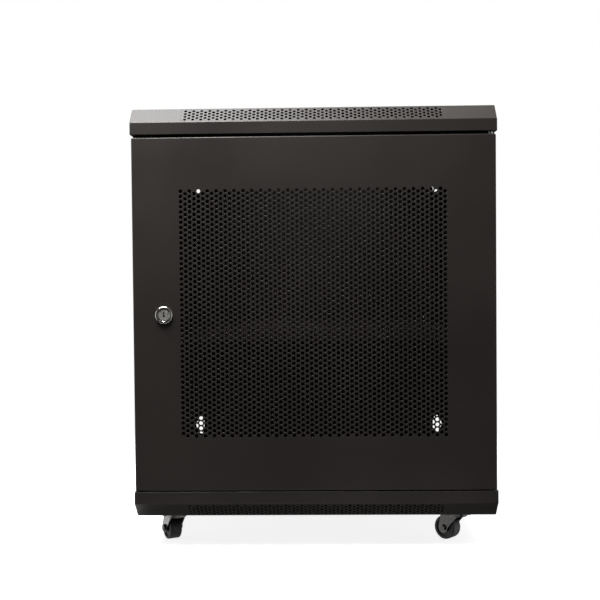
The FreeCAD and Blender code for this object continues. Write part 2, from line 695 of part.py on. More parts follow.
def door_bumpers():
    """Rubber buffers on the left post that meet the closed door's lip."""
    buffers = []
    start_y = DOOR_BACK + 0.3
    for z in (DOOR_BOTTOM + 90, DOOR_TOP - 90):
        place = Vector(-DOOR_WIDTH / 2 + 12.5, start_y, z)
        buffers.append(rod(3.5, place, Y_AXIS, POST_FRONT - start_y))
    return group(buffers)


# ---- door lock ----
BARREL_END = DOOR_FACE + 29.2
CAM_FRONT = DOOR_FACE + 30.0
CAM_SHEET = 2.0


def lock_body():
    """A domed bezel and a round barrel, turned about the lock's axis."""
    bore = PLUG_RADIUS + RUNNING_CLEARANCE
    recess = PLUG_FACE_RADIUS + PLUG_GROOVE

    def at(radius, y):
        return Vector(radius, y, 0)

    front = DOOR_FACE - LOCK_PROUD
    crown_start = at(recess, front + 0.5)
    crown_end = at(BEZEL_RADIUS, DOOR_FACE - 0.8)
    crown = Part.Arc(crown_start, at(recess + 1.6, front), crown_end).toShape()
    corners = [
        crown_end,
        at(BEZEL_RADIUS, DOOR_FACE),
        at(BARREL_RADIUS, DOOR_FACE),
        at(BARREL_RADIUS, BARREL_END),
        at(bore, BARREL_END),
        at(bore, DOOR_FACE - 1.6),
        at(recess, DOOR_FACE - 1.6),
        crown_start,
    ]
    outline = Part.Wire([crown] + Part.makePolygon(corners).Edges)
    turned = Part.Face(outline).revolve(Vector(0, 0, 0), Y_AXIS, 360)
    turned.translate(Vector(LOCK_X, 0, LOCK_Z))
    return turned


def lock_nut():
    place = Vector(LOCK_X, DOOR_FACE + PANEL_SHEET, LOCK_Z)
    nut = hexagon(24, place, Y_AXIS, 5)
    return nut.cut(rod(BARREL_RADIUS, place - Y_AXIS, Y_AXIS, 8))


def lock_plug():
    """The turning plug: a face disc with a keyway, a shaft and a square tail."""
    face_y = DOOR_FACE - 3.6
    centre = Vector(LOCK_X, face_y, LOCK_Z)
    disc = rod(PLUG_FACE_RADIUS, centre, Y_AXIS, 1.9)
    rim = [edge for edge in disc.Edges if edge.Closed and edge.CenterOfMass.y < face_y + 0.5]
    disc = disc.makeFillet(0.7, rim)
    shaft = rod(PLUG_RADIUS, centre, Y_AXIS, CAM_FRONT - face_y)
    tail = box(LOCK_X - 4, LOCK_X + 4, face_y + 5, CAM_FRONT + CAM_SHEET, LOCK_Z - 4, LOCK_Z + 4)
    plug = fused([disc, shaft, tail])
    keyway = box(LOCK_X - 1.2, LOCK_X + 1.2, face_y - 1, face_y + 8, LOCK_Z - 3.6, LOCK_Z + 4.4)
    ward = box(LOCK_X - 0.4, LOCK_X + 2.0, face_y - 1, face_y + 8, LOCK_Z - 3.6, LOCK_Z + 0.2)
    return plug.cut(fused([keyway, ward]))


def lock_cam():
    """A flat cam that hangs down when the lock is open."""
    blade = box(LOCK_X - 8, LOCK_X + 8, CAM_FRONT, CAM_FRONT + CAM_SHEET,
                LOCK_Z - 31, LOCK_Z + 8)
    corners = [edge for edge in blade.Edges if abs(edge.tangentAt(0).y) > 0.9]
    blade = blade.makeFillet(5, corners)
    return blade.cut(box(LOCK_X - 4, LOCK_X + 4, CAM_FRONT - 1, CAM_FRONT + 3,
                         LOCK_Z - 4, LOCK_Z + 4))


def lock_cam_screw():
    place = Vector(LOCK_X, CAM_FRONT + CAM_SHEET, LOCK_Z)
    return hexagon(10, place, Y_AXIS, 3.5)


# ---- casters ----
def caster_places():
    places = {}
    for end, y in (("front", FRONT + CASTER_INSET), ("rear", REAR - CASTER_INSET)):
        for name, side in SIDES:
            places[end + "_" + name] = Vector(side * CASTER_X, y, 0)
    return places


def caster_bolt_places():
    places = []
    for centre in caster_places().values():
        for dx in (-PLATE_BOLTS[0] / 2, PLATE_BOLTS[0] / 2):
            for dy in (-PLATE_BOLTS[1] / 2, PLATE_BOLTS[1] / 2):
                places.append((centre.x + dx, centre.y + dy))
    return places


def caster_plate(centre):
    """The fixed top plate with its bearing boss."""
    plate = box(centre.x - PLATE_SIZE[0] / 2, centre.x + PLATE_SIZE[0] / 2,
                centre.y - PLATE_SIZE[1] / 2, centre.y + PLATE_SIZE[1] / 2,
                BODY_BOTTOM - PLATE_THICKNESS, BODY_BOTTOM)
    uprights = [edge for edge in plate.Edges if abs(edge.tangentAt(0).z) > 0.9]
    plate = plate.makeFillet(5, uprights)
    boss_bottom = FORK_CROWN_Z + FORK_SHEET + 0.7
    plate_bottom = BODY_BOTTOM - PLATE_THICKNESS
    boss = rod(CROWN_RADIUS - 4, Vector(centre.x, centre.y, boss_bottom), Z_AXIS,
               plate_bottom - boss_bottom + 0.5)
    cutters = [rod(KINGPIN_RADIUS + RUNNING_CLEARANCE,
                   Vector(centre.x, centre.y, FORK_CROWN_Z), Z_AXIS, 12)]
    for dx in (-PLATE_BOLTS[0] / 2, PLATE_BOLTS[0] / 2):
        for dy in (-PLATE_BOLTS[1] / 2, PLATE_BOLTS[1] / 2):
            place = Vector(centre.x + dx, centre.y + dy, plate_bottom - 1)
            cutters.append(rod(3.2, place, Z_AXIS, PLATE_THICKNESS + 2))
    return fused([plate, boss]).cut(group(cutters))


def caster_plates():
    return group([caster_plate(centre) for centre in caster_places().values()])


def caster_bolts():
    """Bolts up through the plates and the base's floor, with their nuts on top."""
    pieces = []
    for x, y in caster_bolt_places():
        under = Vector(x, y, BODY_BOTTOM - PLATE_THICKNESS)
        place = Vector(x, y, FLOOR_Z)
        pieces.append(pan_screw(5, 2, 3, 9.5, under, Z_AXIS * -1))
        pieces.append(hexagon(10, place, Z_AXIS, 5).cut(rod(3, place, Z_AXIS, 6)))
    return group(pieces)


def placed_on_caster(shape, name):
    """Turn a shape made with its wheel behind the swivel, and move it to its corner."""
    shape.rotate(Vector(0, 0, 0), Z_AXIS, CASTER_TURN[name])
    shape.translate(caster_places()[name])
    return shape


def caster_fork(name):
    """Two legs, a crown with a raised dust cup, and the kingpin."""
    crown_top = FORK_CROWN_Z + FORK_SHEET
    leg_outer = LEG_INNER + LEG_SHEET
    leg_front = math.sqrt(CROWN_RADIUS ** 2 - leg_outer ** 2)
    leg_rear = CASTER_TRAIL + 5
    crown = rod(CROWN_RADIUS, Vector(0, 0, FORK_CROWN_Z), Z_AXIS, FORK_SHEET)
    bridge = box(-leg_outer, leg_outer, 0, leg_rear, FORK_CROWN_Z, crown_top)
    cup = rod(CROWN_RADIUS, Vector(0, 0, crown_top), Z_AXIS, 3.2)
    cup = cup.cut(rod(CROWN_RADIUS - 3.2, Vector(0, 0, crown_top), Z_AXIS, 3.2))
    kingpin = rod(KINGPIN_RADIUS, Vector(0, 0, crown_top), Z_AXIS, 6.6)
    pieces = [crown, bridge, cup, kingpin]
    outline = [(-leg_front, crown_top), (leg_rear, crown_top),
               (CASTER_TRAIL + LEG_END_RADIUS, WHEEL_RADIUS),
               (CASTER_TRAIL - LEG_END_RADIUS, WHEEL_RADIUS)]
    for side in (-1, 1):
        pieces.append(prism_along_x(outline, side * LEG_INNER, side * leg_outer))
        pieces.append(rod(LEG_END_RADIUS, Vector(side * LEG_INNER, CASTER_TRAIL, WHEEL_RADIUS),
                          X_AXIS * side, LEG_SHEET))
    hole = rod(AXLE_RADIUS, Vector(-20, CASTER_TRAIL, WHEEL_RADIUS), X_AXIS, 40)
    return placed_on_caster(fused(pieces).cut(hole), name)


def caster_axle(name):
    """A bolt through the fork with its head on one side and its nut on the other."""
    leg_outer = LEG_INNER + LEG_SHEET
    shaft = rod(AXLE_RADIUS, Vector(-leg_outer - 4, CASTER_TRAIL, WHEEL_RADIUS), X_AXIS,
                2 * leg_outer + 5)
    head = hexagon(10, Vector(leg_outer, CASTER_TRAIL, WHEEL_RADIUS), X_AXIS, 3.4)
    nut = hexagon(10, Vector(-leg_outer - 3.4, CASTER_TRAIL, WHEEL_RADIUS), X_AXIS, 3.4)
    return placed_on_caster(fused([shaft, head, nut]), name)


def caster_wheel(name):
    """A solid wheel with rounded shoulders, dished sides and a hub."""
    half = WHEEL_HALF_WIDTH
    wheel = rod(WHEEL_RADIUS, Vector(-half, 0, 0), X_AXIS, 2 * half)
    rims = [edge for edge in wheel.Edges if edge.Closed]
    wheel = wheel.makeFillet(TREAD_SHOULDER, rims)
    for side in (-1, 1):
        dish = rod(15, Vector(side * half, 0, 0), X_AXIS * -side, 2)
        wheel = wheel.cut(dish.cut(rod(6, Vector(side * half, 0, 0), X_AXIS * -side, 2)))
    hub = rod(6, Vector(-half - 0.7, 0, 0), X_AXIS, 2 * half + 1.4)
    bore = rod(AXLE_RADIUS + RUNNING_CLEARANCE, Vector(-half - 2, 0, 0), X_AXIS, 2 * half + 4)
    wheel = fused([wheel, hub]).cut(bore)
    wheel.translate(Vector(0, CASTER_TRAIL, WHEEL_RADIUS))
    return placed_on_caster(wheel, name)


# ---- fasteners ----
def frame_bolts():
    """Bolts that hold the rail supports to the posts."""
    bolts = []
    for _, side in SIDES:
        for z0 in (LOWER_SUPPORT_Z, UPPER_SUPPORT_Z):
            z = z0 + SUPPORT_HEIGHT / 2
            front = Vector(side * 266, POST_FRONT, z)
            rear = Vector(side * 283, REAR - 3 * FRAME_SHEET, z)
            bolts.append(hexagon(10, front - Y_AXIS * 4, Y_AXIS, 4))
            bolts.append(hexagon(10, rear - Y_AXIS * 4, Y_AXIS, 4))
    return group(bolts)


def rail_bolts():
    """Bolts with nuts that clamp the rails to their supports."""
    bolts = []
    for _, side in SIDES:
        outward = X_AXIS * side
        inner_face = side * (RAIL_OUTER_X - RAIL_SHEET)
        for z0 in (LOWER_SUPPORT_Z, UPPER_SUPPORT_Z):
            z = z0 + SUPPORT_HEIGHT / 2
            for y in (FRONT_RAIL_Y + 24, REAR_RAIL_Y - 14):
                place = Vector(inner_face, y, z)
                bolts.append(hexagon(10, place - outward * 4, outward, 4))
                bolts.append(hexagon(10, place + outward * 3.5, outward, 5))
    return group(bolts)


def cage_nuts():
    """Square nuts in spring cages behind the shelf's fixing holes."""
    nuts = []
    half = SQUARE_HOLE / 2 - 0.2
    for place in shelf_screw_places():
        y = place.y + FRAME_SHEET
        body = box(place.x - half, place.x + half, y, y + 6, place.z - half, place.z + half)
        nuts.append(body.cut(rod(3, place, Y_AXIS, 12)))
    return group(nuts)


def shelf_screws():
    return group([pan_screw(5, 3, 3, 9, place, Y_AXIS * -1) for place in shelf_screw_places()])


def panel_screws():
    """Screws of the rear panel and of the two cable covers."""
    screws = [pan_screw(4.5, PANEL_SCREW_HEAD, PANEL_SCREW_RADIUS, 6, place, Y_AXIS)
              for place in rear_screw_places()]
    half_x = CABLE_ENTRY[0] / 2 + CABLE_COVER_OVERLAP / 2
    for x in (-half_x, half_x):
        for dy in (-18, 18):
            low = Vector(x, CABLE_ENTRY_Y + dy, FLOOR_Z + PANEL_SHEET)
            high = Vector(x, CABLE_ENTRY_Y + dy, CEILING_Z - PANEL_SHEET)
            screws.append(rod(3.2, low, Z_AXIS, 1.8))
            screws.append(rod(3.2, high - Z_AXIS * 1.8, Z_AXIS, 1.8))
    return group(screws)


def all_nodes():
    """Every piece of the cabinet by name."""
    nodes = {
        "top_cover": top_cover(),
        "base_pan": base_pan(),
        "lid_vent_strip": vent_strip(LID_EDGE, 1),
        "base_vent_strip": vent_strip(BASE_EDGE, -1),
        "top_cable_cover": cable_cover(CEILING_Z - PANEL_SHEET),
        "base_cable_cover": cable_cover(FLOOR_Z),
        "rear_panel": rear_panel(),
        "shelf": shelf(),
        "door_panel": door_panel(),
        "door_stiffeners": door_stiffeners(),
        "door_bumpers": door_bumpers(),
        "hinge_brackets": hinge_brackets(),
        "hinge_pin_upper": hinge_pin_upper(),
        "hinge_spring": hinge_spring(),
        "hinge_pin_lower": hinge_pin_lower(),
        "hinge_bushes": hinge_bushes(),
        "lock_body": lock_body(),
        "lock_nut": lock_nut(),
        "lock_plug": lock_plug(),
        "lock_cam": lock_cam(),
        "lock_cam_screw": lock_cam_screw(),
        "caster_plates": caster_plates(),
        "caster_bolts": caster_bolts(),
        "frame_bolts": frame_bolts(),
        "rail_bolts": rail_bolts(),
        "cage_nuts": cage_nuts(),
        "shelf_screws": shelf_screws(),
        "panel_screws": panel_screws(),
    }
    for name, side in SIDES:
        nodes["corner_post_front_" + name] = front_post(side)
        nodes["corner_post_rear_" + name] = rear_post(side)
        nodes["rail_support_lower_" + name] = rail_support(side, LOWER_SUPPORT_Z)
        nodes["rail_support_upper_" + name] = rail_support(side, UPPER_SUPPORT_Z)
        nodes["rack_rail_front_" + name] = rack_rail(side, FRONT_RAIL_Y, FRONT_RAIL_WEB)
        nodes["rack_rail_rear_" + name] = rack_rail(side, REAR_RAIL_Y, -REAR_RAIL_WEB)
        nodes["side_panel_" + name] = side_panel(side)
        nodes["side_lock_body_" + name] = side_lock_body(side)
        nodes["side_lock_plug_" + name] = side_lock_plug(side)
        nodes["side_lock_cam_" + name] = side_lock_cam(side)
    for name in caster_places():
        nodes["caster_fork_" + name] = caster_fork(name)
        nodes["caster_axle_" + name] = caster_axle(name)
        nodes["caster_wheel_" + name] = caster_wheel(name)
    return nodes


os.makedirs("parts", exist_ok=True)
for node_name, node_shape in all_nodes().items():
    node_shape.exportStep("parts/" + node_name + ".step")
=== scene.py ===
"""Looks of the network rack cabinet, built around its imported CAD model.

Everything is in metres in the model's own frame: X to the right, Y to the rear, Z up from the
floor. The CAD nodes keep their shapes and get their materials here. The perforated door sheet and
the coiled hinge spring are modelled here and stand for their plain CAD solids.
"""
import json
import math

import bmesh
import bpy
from mathutils import Matrix, Vector


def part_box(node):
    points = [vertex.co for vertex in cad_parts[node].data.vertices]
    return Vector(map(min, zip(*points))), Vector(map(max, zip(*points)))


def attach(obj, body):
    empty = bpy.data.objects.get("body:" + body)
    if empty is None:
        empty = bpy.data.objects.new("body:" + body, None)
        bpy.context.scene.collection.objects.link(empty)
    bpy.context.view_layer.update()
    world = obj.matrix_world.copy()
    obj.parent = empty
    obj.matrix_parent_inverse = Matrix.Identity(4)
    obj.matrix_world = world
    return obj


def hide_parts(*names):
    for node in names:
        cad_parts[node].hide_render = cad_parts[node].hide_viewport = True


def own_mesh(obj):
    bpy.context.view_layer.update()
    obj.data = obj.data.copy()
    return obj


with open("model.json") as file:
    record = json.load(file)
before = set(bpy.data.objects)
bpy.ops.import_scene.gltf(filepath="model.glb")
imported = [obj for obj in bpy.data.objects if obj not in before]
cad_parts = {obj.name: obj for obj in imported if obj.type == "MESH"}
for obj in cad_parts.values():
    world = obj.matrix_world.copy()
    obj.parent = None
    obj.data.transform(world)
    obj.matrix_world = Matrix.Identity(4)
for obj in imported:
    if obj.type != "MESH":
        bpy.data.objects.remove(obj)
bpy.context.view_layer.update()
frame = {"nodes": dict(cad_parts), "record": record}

MM = 0.001
SAME_PLACE = 0.01 * MM          # points closer than this are one
X_AXIS = Vector((1, 0, 0))
Y_AXIS = Vector((0, 1, 0))
Z_AXIS = Vector((0, 0, 1))

# ---- door sheet ----
SHEET = 1.2 * MM
BEND_RADIUS = 2.0 * MM          # outside radius of the folded edges
CORNER_RADIUS = 1.0 * MM        # corners of the door's flat face
LIP_DEPTH = 16.0 * MM           # lips folded in behind the door
LIP_CORNER_RADIUS = 0.2 * MM    # least radius of the lips' inner corners
SUPPORT_WIDTH = 0.5 * MM        # narrow flat strips that keep the flats' shading flat
BEND_STEPS = 5
CORNER_STEPS = 6

# ---- punched field of the door ----
HOLE_RADIUS = 3.1 * MM
HOLE_COLUMNS = 60
HOLE_ROWS = 48
COLUMN_STEP = 7.329 * MM
ROW_STEP = 8.478 * MM
FIELD_TOP = 595.7 * MM          # top edge of the highest holes
FIELD_MIDDLE = -1.1 * MM        # the field stands a little left of the middle
HOLE_CORNERS = 12               # two for each corner of a hole's cell
CELL_WELD = 0.05 * MM           # neighbouring cells' corners closer than this are joined
LOCK_HOLE_RADIUS = 9.0 * MM
PIN_HOLE_RADIUS = 4.05 * MM
ROUND_STEPS = 32
SHARP_ANGLE = math.radians(35)

# ---- hinge spring ----
WIRE_RADIUS = 0.55 * MM
SPRING_RADIUS = 5.1 * MM        # to the middle of the wire
SPRING_TURNS = 6
SPRING_FLAT_TURNS = 0.75        # closed turn at each end, without climb
WIRE_CORNERS = 8
TURN_STEPS = 28

# ---- materials ----
NOISE_LOW = 0.3                 # most values of a noise texture lie between these two
NOISE_HIGH = 0.7
EDGE_SAMPLES = 4                # samples of the shader that softens edges

# ---- studio ----
FLOOR_SOLID = 0.45              # the floor starts to fade this far from the middle
FLOOR_RADIUS = 1.1
FLOOR_STEPS = 96
FLOOR_GLOW = 0.85
CARD_HEIGHT = 0.003             # light cards that lie on the floor and shine up
FRONT_GLOW = 0.04               # light from the surroundings in front and behind
SIDE_START = 0.72               # sideways share of a direction from which it grows brighter

# ---- camera ----
CAMERA_PLACE = Vector((0.0223, -2.0215, 0.4629))
CAMERA_YAW = math.radians(1.504)
CAMERA_PITCH = math.radians(1.665)
CAMERA_ROLL = math.radians(-0.530)
CAMERA_LENS = 63.14
CAMERA_SENSOR = 36.0


# ---------------------------------------------------------------- materials
class Nodes:
    """A material's node tree, with short calls that add a node and link its inputs."""

    def __init__(self, name):
        self.material = bpy.data.materials.new(name)
        self.material.use_nodes = True
        self.tree = self.material.node_tree
        self.shader = self.tree.nodes["Principled BSDF"]
        self.place = self.add("ShaderNodeTexCoord").outputs["Object"]

    def add(self, kind, **settings):
        node = self.tree.nodes.new(kind)
        for key, value in settings.items():
            setattr(node, key, value)
        return node

    def feed(self, node, **inputs):
        """Sets a node's inputs by name: a socket is linked, a number or colour is set."""
        for key, value in inputs.items():
            socket = node.inputs[key.replace("_", " ")]
            if isinstance(value, bpy.types.NodeSocket):
                self.tree.links.new(value, socket)
            else:
                socket.default_value = value

    def stretched(self, scale):
        """The object coordinates scaled by a different number along each axis."""
        node = self.add("ShaderNodeMapping")
        self.feed(node, Vector=self.place, Scale=scale)
        return node.outputs["Vector"]

    def noise(self, scale, detail=2.0, roughness=0.5, vector=None):
        node = self.add("ShaderNodeTexNoise")
        self.feed(node, Vector=vector or self.place, Scale=scale)
        self.feed(node, Detail=detail, Roughness=roughness)
        return node.outputs["Fac"]

    def spread(self, value, low, high, start=NOISE_LOW, end=NOISE_HIGH):
        """Maps a value between start and end onto the range low to high."""
        node = self.add("ShaderNodeMapRange")
        self.feed(node, Value=value, From_Min=start, From_Max=end, To_Min=low, To_Max=high)
        return node.outputs["Result"]

    def blend(self, value, first, second, start=NOISE_LOW, end=NOISE_HIGH):
        """A colour that runs from first to second as the value goes from start to end."""
        factor = self.spread(value, 0, 1, start, end)
        ramp = self.add("ShaderNodeValToRGB")
        ramp.color_ramp.elements[0].color = (*first, 1)
        ramp.color_ramp.elements[1].color = (*second, 1)
        self.feed(ramp, Fac=factor)
        return ramp.outputs["Color"]

    def bump(self, height, distance, normal):
        """The normal, roughened by a height that rises over that distance."""
        node = self.add("ShaderNodeBump")
        self.feed(node, Height=height, Distance=distance, Strength=1.0, Normal=normal)
        return node.outputs["Normal"]

    def soft_edges(self, radius):
        """The surface's normal, rounded over sharp edges."""
        node = self.add("ShaderNodeBevel", samples=EDGE_SAMPLES)
        self.feed(node, Radius=radius)
        return node.outputs["Normal"]

    def finish(self, colour, roughness, normal, metallic=0.0):
        """Feeds the shader and returns the material."""
        self.feed(self.shader, Base_Color=colour, Roughness=roughness, Normal=normal)
        self.feed(self.shader, Metallic=metallic)
        return self.material


def powder_coat():
    """Satin black powder coat: fine orange peel, faint cloudiness and a little dust."""
    m = Nodes("black_powder_coat")
    cloud = m.noise(scale=5, detail=3)
    peel = m.noise(scale=420)
    grain = m.noise(scale=1700, roughness=0.6)
    dust = m.noise(scale=900, detail=4, roughness=0.7)
    coat = m.blend(cloud, (0.022, 0.0185, 0.0168), (0.028, 0.0232, 0.0208))
    specks = m.blend(dust, (0, 0, 0), (0.035, 0.034, 0.032), start=0.66, end=0.8)
    dusted = m.add("ShaderNodeMix", data_type="RGBA", blend_type="ADD")
    m.feed(dusted, Factor=1, A=coat, B=specks)
    surface = m.bump(peel, 0.05 * MM, m.soft_edges(0.7 * MM))
    surface = m.bump(grain, 0.02 * MM, surface)
    return m.finish(dusted.outputs["Result"], m.spread(cloud, 0.37, 0.46), surface)


def zinc_plate():
    """Bright zinc plating on pressed steel, with rolling streaks and dull clouds."""
    m = Nodes("zinc_plated_steel")
    cloud = m.noise(scale=90, detail=4)
    streaks = m.noise(scale=60, detail=3, vector=m.stretched((4, 4, 30)))
    scratches = m.noise(scale=300, vector=m.stretched((1, 1, 9)))
    colour = m.blend(cloud, (0.46, 0.47, 0.48), (0.66, 0.67, 0.68))
    surface = m.bump(scratches, 0.03 * MM, m.soft_edges(0.4 * MM))
    return m.finish(colour, m.spread(streaks, 0.24, 0.42), surface, metallic=1.0)


def black_zinc_plate():
    """Black zinc plating on pressed steel: semi-gloss, cloudy, worn greyer in patches."""
    m = Nodes("black_zinc_plate")
    cloud = m.noise(scale=120, detail=4)
    wear = m.noise(scale=260, detail=6, roughness=0.75)
    scratches = m.noise(scale=320, vector=m.stretched((1, 1, 8)))
    colour = m.blend(wear, (0.1, 0.098, 0.096), (0.2, 0.195, 0.185), start=0.5, end=0.8)
    surface = m.bump(scratches, 0.02 * MM, m.soft_edges(0.5 * MM))
    return m.finish(colour, m.spread(cloud, 0.14, 0.26), surface, metallic=1.0)


def satin_nickel():
    """Satin nickel plate: a cloudy film, fine grain and a few key marks."""
    m = Nodes("satin_nickel")
    film = m.noise(scale=240, detail=4)
    marks = m.noise(scale=900, detail=3, roughness=0.7)
    colour = m.blend(film, (0.49, 0.48, 0.45), (0.6, 0.59, 0.55))
    surface = m.bump(marks, 0.02 * MM, m.soft_edges(0.3 * MM))
    return m.finish(colour, m.spread(film, 0.5, 0.62), surface, metallic=1.0)


def chrome_plate():
    """Polished chrome with a film of handling marks and hairline scratches."""
    m = Nodes("chrome_plate")
    film = m.noise(scale=160, detail=4)
    hairs = m.noise(scale=700, vector=m.stretched((1, 1, 14)))
    colour = m.blend(film, (0.70, 0.69, 0.66), (0.82, 0.81, 0.78))
    surface = m.bump(hairs, 0.008 * MM, m.soft_edges(0.3 * MM))
    return m.finish(colour, m.spread(film, 0.07, 0.2), surface, metallic=1.0)


def moulded_nylon():
    """Satin black nylon with a moulded grain and greyish scuffs."""
    m = Nodes("black_nylon")
    grain = m.noise(scale=1300, detail=3)
    scuffs = m.noise(scale=130, detail=6, roughness=0.75)
    colour = m.blend(scuffs, (0.011, 0.011, 0.0115), (0.05, 0.049, 0.047), start=0.5, end=0.75)
    surface = m.bump(grain, 0.03 * MM, m.soft_edges(0.5 * MM))
    return m.finish(colour, m.spread(scuffs, 0.36, 0.62), surface)


def soft_rubber():
    """Matte rubber with a fine pitted skin and a dusty bloom."""
    m = Nodes("black_rubber")
    pits = m.noise(scale=1500, detail=3, roughness=0.6)
    bloom = m.noise(scale=220, detail=4)
    colour = m.blend(bloom, (0.014, 0.014, 0.014), (0.032, 0.031, 0.03))
    surface = m.bump(pits, 0.04 * MM, m.soft_edges(0.4 * MM))
    return m.finish(colour, m.spread(bloom, 0.7, 0.85), surface)


def black_oxide():
    """Blackened screw steel: semi-gloss, rubbed a little brighter in patches."""
    m = Nodes("black_oxide_screw")
    rubs = m.noise(scale=500, detail=4, roughness=0.65)
    colour = m.blend(rubs, (0.02, 0.02, 0.022), (0.10, 0.10, 0.105), start=0.45, end=0.75)
    surface = m.bump(rubs, 0.03 * MM, m.soft_edges(0.3 * MM))
    return m.finish(colour, m.spread(rubs, 0.3, 0.48), surface, metallic=0.7)


def paint_nodes(materials):
    """Gives every CAD node the material of its slot in the record."""
    slots = {}
    for part in frame["record"]["subparts"]:
        slots[part["node"]] = part["material_slot"]
    for name, node in frame["nodes"].items():
        material = materials[slots[name]]
        node.data.materials.clear()
        node.data.materials.append(material)


# ---------------------------------------------------------------- mesh helpers
def finished_object(name, work, material):
    """Turns a bmesh into a smooth-shaded object whose sharp corners stay sharp."""
    mesh = bpy.data.meshes.new(name)
    work.to_mesh(mesh)
    work.free()
    mesh.materials.append(material)
    mesh.shade_smooth()
    mesh.set_sharp_from_angle(angle=SHARP_ANGLE)
    piece = bpy.data.objects.new(name, mesh)
    bpy.context.scene.collection.objects.link(piece)
    return piece


def apply_modifiers(piece):
    """Replaces the object's mesh by the one that its modifiers give."""
    evaluated = piece.evaluated_get(bpy.context.evaluated_depsgraph_get())
    mesh = bpy.data.meshes.new_from_object(evaluated)
    piece.modifiers.clear()
    piece.data = mesh


def ring(work, places):
    """A closed loop of edges through the places. Returns its vertices."""
    verts = [work.verts.new(place) for place in places]
    for one, two in zip(verts, verts[1:] + verts[:1]):
        work.edges.new((one, two))
    return verts


def bridge(work, one, two):
    """Four-sided faces between two closed loops of as many vertices."""
    for corner, vert in enumerate(one):
        following = (corner + 1) % len(one)
        work.faces.new((vert, one[following], two[following], two[corner]))


def node_middle(node):
    """The middle of a CAD node's box."""
    low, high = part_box(node)
    return (low + high) / 2


def circle(centre, across, up, radius, steps):
    """Places on a circle around centre, in the plane of the unit vectors across and up."""
    turns = [2 * math.pi * step / steps for step in range(steps)]
    return [centre + across * (radius * math.cos(a)) + up * (radius * math.sin(a)) for a in turns]


# ---------------------------------------------------------------- door sheet
def edge_profile(depth):
    """The folded edge as (outward offset, depth behind the face), from the flat face to the lip.

    The offset is measured from the edge of the flat face, one bend radius inside the door's side.
    """
    bend = [math.radians(90) * step / BEND_STEPS for step in range(BEND_STEPS + 1)]
    front = [(BEND_RADIUS * math.sin(a), BEND_RADIUS * (1 - math.cos(a))) for a in bend]
    back = [(BEND_RADIUS * math.cos(a), depth - BEND_RADIUS * (1 - math.sin(a))) for a in bend]
    side = [
        (BEND_RADIUS, BEND_RADIUS + SUPPORT_WIDTH),
        (BEND_RADIUS, depth - BEND_RADIUS - SUPPORT_WIDTH),
    ]
    lip = [(-SUPPORT_WIDTH, depth), (BEND_RADIUS - LIP_DEPTH, depth)]
    return front + side + back + lip


def rounded_outline(half_width, low, high, radius):
    """Corner points (x, z) of a rounded rectangle, anticlockwise seen from the front."""
    points = []
    corners = (
        (half_width, high, 0),
        (-half_width, high, 90),
        (-half_width, low, 180),
        (half_width, low, 270),
    )
    for x, z, start in corners:
        centre_x = x - math.copysign(radius, x)
        centre_z = z - radius if z == high else z + radius
        for step in range(CORNER_STEPS + 1):
            angle = math.radians(start + 90 * step / CORNER_STEPS)
            point_x = centre_x + radius * math.cos(angle)
            point_z = centre_z + radius * math.sin(angle)
            points.append((point_x, point_z))
    return points


def hole_cell(work, x, z, face_y):
    """The sheet around one hole: a six-cornered cell that shares its edges with its neighbours'."""
    half = COLUMN_STEP / 2
    rise = ROW_STEP / 2
    corners = (
        (x + half, z),
        (x + half, z + rise),
        (x - half, z + rise),
        (x - half, z),
        (x - half, z - rise),
        (x + half, z - rise),
    )
    outer = [work.verts.new((corner_x, face_y, corner_z)) for corner_x, corner_z in corners]
    hole = []
    for step in range(HOLE_CORNERS):
        angle = 2 * math.pi * (step + 0.5) / HOLE_CORNERS
        place = (x + HOLE_RADIUS * math.cos(angle), face_y, z + HOLE_RADIUS * math.sin(angle))
        hole.append(work.verts.new(place))
    for index, corner in enumerate(outer):
        following = outer[(index + 1) % len(outer)]
        before, after, last = hole[2 * index - 1], hole[2 * index], hole[2 * index + 1]
        work.faces.new((corner, after, before))
        work.faces.new((corner, following, last, after))


def hole_field(work, face_y):
    """Staggered columns of cells. Returns the edges of the field's border."""
    first_x = FIELD_MIDDLE - COLUMN_STEP * (HOLE_COLUMNS - 1) / 2
    first_z = FIELD_TOP - HOLE_RADIUS
    for column in range(HOLE_COLUMNS):
        stagger = ROW_STEP / 2 * (column % 2)
        for row in range(HOLE_ROWS):
            z = first_z - stagger - row * ROW_STEP
            hole_cell(work, first_x + column * COLUMN_STEP, z, face_y)
    bmesh.ops.remove_doubles(work, verts=work.verts[:], dist=CELL_WELD)
    return [edge for edge in work.edges if edge.is_boundary and edge.calc_length() > HOLE_RADIUS]


def folded_edge(work, low, high):
    """The bends, returns and lips around the face. Returns the ring of vertices at the face."""
    rings = []
    for offset, depth in edge_profile(high.y - low.y):
        radius = max(CORNER_RADIUS + offset, LIP_CORNER_RADIUS)
        half_width = high.x - BEND_RADIUS + offset
        bottom = low.z + BEND_RADIUS - offset
        top = high.z - BEND_RADIUS + offset
        outline = rounded_outline(half_width, bottom, top, radius)
        rings.append(ring(work, [(x, low.y + depth, z) for x, z in outline]))
    for one, two in zip(rings, rings[1:]):
        bridge(work, one, two)
    return rings[0]


def pierce_return(work, centre):
    """Cuts the round hole of a hinge pin in the top or bottom return, around centre."""
    level = [face for face in work.faces
             if all(abs(vert.co.z - centre.z) < SAME_PLACE for vert in face.verts)]
    flat = max(level, key=lambda face: face.calc_area())
    rim = flat.edges[:]
    bmesh.ops.delete(work, geom=[flat], context="FACES_ONLY")
    hole = ring(work, circle(centre, X_AXIS, Y_AXIS, PIN_HOLE_RADIUS, ROUND_STEPS))
    hole_edges = {edge for vert in hole for edge in vert.link_edges}
    bmesh.ops.triangle_fill(work, edges=rim + list(hole_edges), use_beauty=True)


